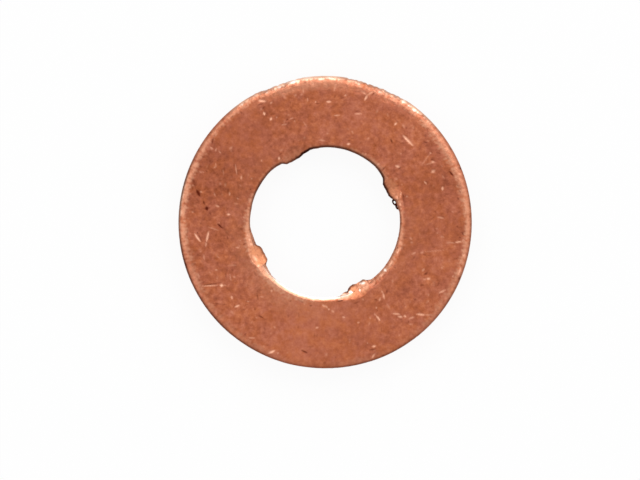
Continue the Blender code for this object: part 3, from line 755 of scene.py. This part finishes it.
# How strong the mottling is
MOTTLED = (
    (15, 0.84), (45, 1), (75, 0.76), (105, 1), (135, 0.68), (165, 1), (225, 1), (255, 0.55),
    (285, 0.68), (315, 0.9), (345, 0.78),
)
for name, values in (
    ("cut_wall", cut_wall), ("rub_and_highlight", rub_and_highlight), ("fresh_copper_and_sheen", fresh_copper_and_sheen), ("tarnish_and_shade", tarnish_and_shade),
    ("burnish_and_sheen", burnish_and_sheen), ("polish_and_painted_highlight", polish_and_painted_highlight), ("painted_glint", painted_glint), ("painted_edge_shade", painted_edge_shade),
    ("shade", around(SHADE)), ("mottled", around(MOTTLED)),
):
    attribute = washer.data.attributes.new(name, "FLOAT", "POINT")
    attribute.data.foreach_set("value", values.astype(np.float32))

# The burr
# Where the first nib tore loose at one end, a sliver of copper curled into the bore. Its dark colour
# is painted shade. Two small loops, each a wire bent to an eye, joined to the washer.
BURR_HEIGHT = 1.22 * MM
BURR_TURN = 10
BURR_TILT = -12

# How much taller than wide the wire is
BURR_STRETCH = 1.3

# Each loop: degrees round the bore, and then in mm how far from the axis it lies, half its length
# and half its width to the middle of the wire, and half the wire's thickness
BURR_LOOPS = ((16.3, 3.700, 0.128, 0.084, 0.038), (12.4, 3.770, 0.085, 0.050, 0.042))
for where, far, long, wide, thick in BURR_LOOPS:
    middle = (
        far * MM * math.cos(math.radians(where)), far * MM * math.sin(math.radians(where)),
        BURR_HEIGHT,
    )
    bpy.ops.object.select_all(action="DESELECT")
    bpy.ops.mesh.primitive_torus_add(
        major_segments=28, minor_segments=10, major_radius=wide * MM, minor_radius=thick * MM,
        location=middle,
        rotation=(0, math.radians(BURR_TILT), math.radians(where + BURR_TURN)),
    )
    loop = bpy.context.object
    loop.scale = (1, long / wide, BURR_STRETCH)
    bpy.ops.object.transform_apply(location=True, rotation=True, scale=True)
    bpy.ops.object.shade_smooth()
    # Painted shade: each loop is coloured dark for the shadow it lies in
    for name, level in (("painted_edge_shade", 1.0), ("tarnish_and_shade", 1.0), ("shade", 0.5)):
        attribute = loop.data.attributes.new(name, "FLOAT", "POINT")
        attribute.data.foreach_set("value", np.full(len(loop.data.vertices), level, dtype=np.float32))
    washer.select_set(True)
    bpy.context.view_layer.objects.active = washer
    bpy.ops.object.join()

# Annealed copper
# Rolled strip, softened in a furnace and tumbled. It has no grain direction: the eye sees a satin
# salmon brown with fine darker and lighter mottling, bright only where it was nicked.

# The crystals of annealed copper are about 0.05 mm across, too fine to show here, so the grain is
# drawn four times as coarse. The tarnish lies in clouds, and the hue drifts between them.
GRAIN_SIZE = 0.20 * MM
CLOUD_SIZE = 1.3 * MM
HUE_SIZE = 0.6 * MM
GRAIN_HEIGHT = 0.018 * MM
STRUCK_ROUGHNESS = 0.22


def linear(code):
    """An sRGB hex colour as linear RGBA."""
    parts = [int(code[k : k + 2], 16) / 255 for k in (1, 3, 5)]
    return [c / 12.92 if c <= 0.04045 else ((c + 0.055) / 1.055) ** 2.4 for c in parts] + [1]


def node(tree, kind, inputs=(), **settings):
    """Adds a node. inputs holds (socket, a value or another node's output) pairs."""
    made = tree.nodes.new(kind)
    for name, value in settings.items():
        setattr(made, name, value)
    for socket, value in inputs:
        if isinstance(value, bpy.types.NodeSocket):
            tree.links.new(value, made.inputs[socket])
        else:
            made.inputs[socket].default_value = value
    return made


copper = bpy.data.materials.new("annealed_copper")
copper.use_nodes = True
tree = copper.node_tree
shader = tree.nodes["Principled BSDF"]
shader.inputs["Metallic"].default_value = 1
spot = node(tree, "ShaderNodeTexCoord").outputs["Object"]
grain = node(
    tree, "ShaderNodeTexNoise",
    [("Vector", spot), ("Scale", 1 / GRAIN_SIZE), ("Detail", 3), ("Roughness", 0.55)],
).outputs["Fac"]
cloud = node(
    tree, "ShaderNodeTexNoise",
    [("Vector", spot), ("Scale", 1 / CLOUD_SIZE), ("Detail", 3), ("Roughness", 0.6)],
).outputs["Fac"]

# The mottling is grain and clouds together, weaker where the attribute says so, with the furnace's
# shade laid over it
mixed = node(tree, "ShaderNodeMix", [(0, 0.34), (2, grain), (3, cloud)], data_type="FLOAT").outputs[0]
mottled_here = node(tree, "ShaderNodeAttribute", attribute_name="mottled").outputs["Fac"]
mixed = node(
    tree, "ShaderNodeMix", [(0, mottled_here), (2, 0.5), (3, mixed)], data_type="FLOAT"
).outputs[0]
shade_here = node(tree, "ShaderNodeAttribute", attribute_name="shade").outputs["Fac"]
tone = node(
    tree, "ShaderNodeMix", [(0, 0.28), (2, mixed), (3, shade_here)], data_type="FLOAT"
).outputs[0]
mottle = node(tree, "ShaderNodeValToRGB", [("Fac", tone)])
ramp = mottle.color_ramp
ramp.elements[0].position = 0.32
ramp.elements[0].color = linear("#7C3F2A")
ramp.elements[1].position = 0.68
ramp.elements[1].color = linear("#CC7E62")
middle = ramp.elements.new(0.5)
middle.color = linear("#A95F46")

# Its hue drifts between orange and pink
hue = node(
    tree, "ShaderNodeTexNoise",
    [("Vector", spot), ("Scale", 1 / HUE_SIZE), ("Detail", 3), ("Roughness", 0.6)],
).outputs["Fac"]
warmth = node(tree, "ShaderNodeValToRGB", [("Fac", hue)])
warmth.color_ramp.elements[0].position = 0.35
warmth.color_ramp.elements[0].color = linear("#FFFCE4")
warmth.color_ramp.elements[1].position = 0.62
warmth.color_ramp.elements[1].color = linear("#FAFCFF")
colour = node(
    tree, "ShaderNodeMix", [(0, 1.0), (6, mottle.outputs["Color"]), (7, warmth.outputs["Color"])],
    data_type="RGBA", blend_type="MULTIPLY",
).outputs[2]

# Each kind of wear, and each painted highlight, glint and shade, has its own colour over the mottling
for name, code in (
    ("cut_wall", "#A25C42"), ("rub_and_highlight", "#C18569"), ("fresh_copper_and_sheen", "#C8815C"), ("tarnish_and_shade", "#581E10"),
    ("burnish_and_sheen", "#FABC9D"), ("polish_and_painted_highlight", "#FACBAE"), ("painted_glint", "#FFF0E4"), ("painted_edge_shade", "#33140E"),
):
    amount = node(tree, "ShaderNodeAttribute", attribute_name=name).outputs["Fac"]
    colour = node(
        tree, "ShaderNodeMix", [(0, amount), (6, colour), (7, linear(code))], data_type="RGBA"
    ).outputs[2]
tree.links.new(colour, shader.inputs["Base Color"])

# The grain makes it satin, and the polished edges are smoother
roughness = node(
    tree, "ShaderNodeMapRange",
    [("Value", grain), ("From Min", 0.3), ("From Max", 0.7), ("To Min", 0.42), ("To Max", 0.32)],
).outputs["Result"]
polish_and_highlight_here = node(tree, "ShaderNodeAttribute", attribute_name="polish_and_painted_highlight").outputs["Fac"]
roughness = node(
    tree, "ShaderNodeMix", [(0, polish_and_highlight_here), (2, roughness), (3, STRUCK_ROUGHNESS)],
    data_type="FLOAT",
).outputs[0]
tree.links.new(roughness, shader.inputs["Roughness"])
bump = node(
    tree, "ShaderNodeBump", [("Strength", 1), ("Distance", GRAIN_HEIGHT), ("Height", grain)]
)
tree.links.new(bump.outputs["Normal"], shader.inputs["Normal"])

washer.data.materials.clear()
washer.data.materials.append(copper)
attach(washer, "root")
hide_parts("copper_washer")

# The studio
# A white sheet under the washer, a bright room round it, one broad softbox behind it, at the top
# of the picture, and a weaker one on either side.
FLOOR_GLOW = 0.93
ROOM_LIGHT = 0.6
SOFTBOX_DISTANCE = 0.4


def seen_rays(tree):
    """1 for rays that look at a thing, straight, mirrored or through glass, and 0 for the rest."""
    ray = node(tree, "ShaderNodeLightPath").outputs
    seen = ray["Is Camera Ray"]
    for kind in ("Is Glossy Ray", "Is Transmission Ray"):
        seen = node(
            tree, "ShaderNodeMath", [(0, seen), (1, ray[kind])], operation="MAXIMUM"
        ).outputs[0]
    return seen


# The sheet's own white covers most of its shading where it is seen, so only a soft shadow is left
bpy.ops.object.select_all(action="DESELECT")
bpy.ops.mesh.primitive_plane_add(size=2)
floor = bpy.context.object
floor.name = "floor"
paper = bpy.data.materials.new("white_paper")
paper.use_nodes = True
tree = paper.node_tree
shader = tree.nodes["Principled BSDF"]
shader.inputs["Base Color"].default_value = linear("#F4F4F4")
shader.inputs["Roughness"].default_value = 0.9
glowing = node(
    tree, "ShaderNodeMath", [(0, seen_rays(tree)), (1, FLOOR_GLOW)], operation="MULTIPLY"
).outputs[0]
glow = node(tree, "ShaderNodeEmission", [("Color", (1, 1, 1, 1)), ("Strength", 1)])
sheet = node(
    tree, "ShaderNodeMixShader",
    [(0, glowing), (1, shader.outputs["BSDF"]), (2, glow.outputs["Emission"])],
)
tree.links.new(sheet.outputs["Shader"], tree.nodes["Material Output"].inputs["Surface"])
floor.data.materials.append(paper)

# The room is white where it is seen, and lights the washer less brightly
room = bpy.data.worlds.new("room")
bpy.context.scene.world = room
room.use_nodes = True
tree = room.node_tree
level = node(
    tree, "ShaderNodeMapRange", [("Value", seen_rays(tree)), ("To Min", ROOM_LIGHT), ("To Max", 1)]
).outputs["Result"]
back = tree.nodes["Background"]
back.inputs["Color"].default_value = (1, 1, 1, 1)
tree.links.new(level, back.inputs["Strength"])


def softbox(name, azimuth, elevation, size, brightness):
    """A rectangle of light facing the washer. brightness is its surface's, where 1 is white."""
    lamp = bpy.data.lights.new(name, "AREA")
    lamp.shape = "RECTANGLE"
    lamp.size = size[0]
    lamp.size_y = size[1]
    lamp.energy = brightness * math.pi * size[0] * size[1]
    holder = bpy.data.objects.new(name, lamp)
    bpy.context.scene.collection.objects.link(holder)
    turn, lift = math.radians(azimuth), math.radians(elevation)
    way = Vector((math.cos(turn) * math.cos(lift), math.sin(turn) * math.cos(lift), math.sin(lift)))
    holder.location = way * SOFTBOX_DISTANCE
    holder.rotation_euler = way.to_track_quat("Z", "Y").to_euler()


softbox("back_softbox", 82, 46, (0.50, 0.28), 1.6)
softbox("left_softbox", 178, 48, (0.30, 0.28), 0.75)
softbox("right_softbox", 8, 42, (0.34, 0.36), 0.6)

# The camera
# Far above and looking straight down, with a long lens, as for a catalogue picture. The washer's
# axis lies a little to the right of the picture's middle and above it.
PIXEL = 0.0511 * MM
IMAGE_WIDTH = 640
PIXELS_RIGHT = 5.1
PIXELS_UP = 17.4
lens = bpy.data.cameras.new("camera")
lens.lens = 300
lens.sensor_width = 36
lens.clip_start = 0.01
lens.clip_end = 2
camera = bpy.data.objects.new("camera", lens)
bpy.context.scene.collection.objects.link(camera)
above = IMAGE_WIDTH * PIXEL * lens.lens / lens.sensor_width
camera.location = (-PIXELS_RIGHT * PIXEL, -PIXELS_UP * PIXEL, rim_top + above)
bpy.context.scene.camera = camera
bpy.context.scene.view_settings.view_transform = "Standard"
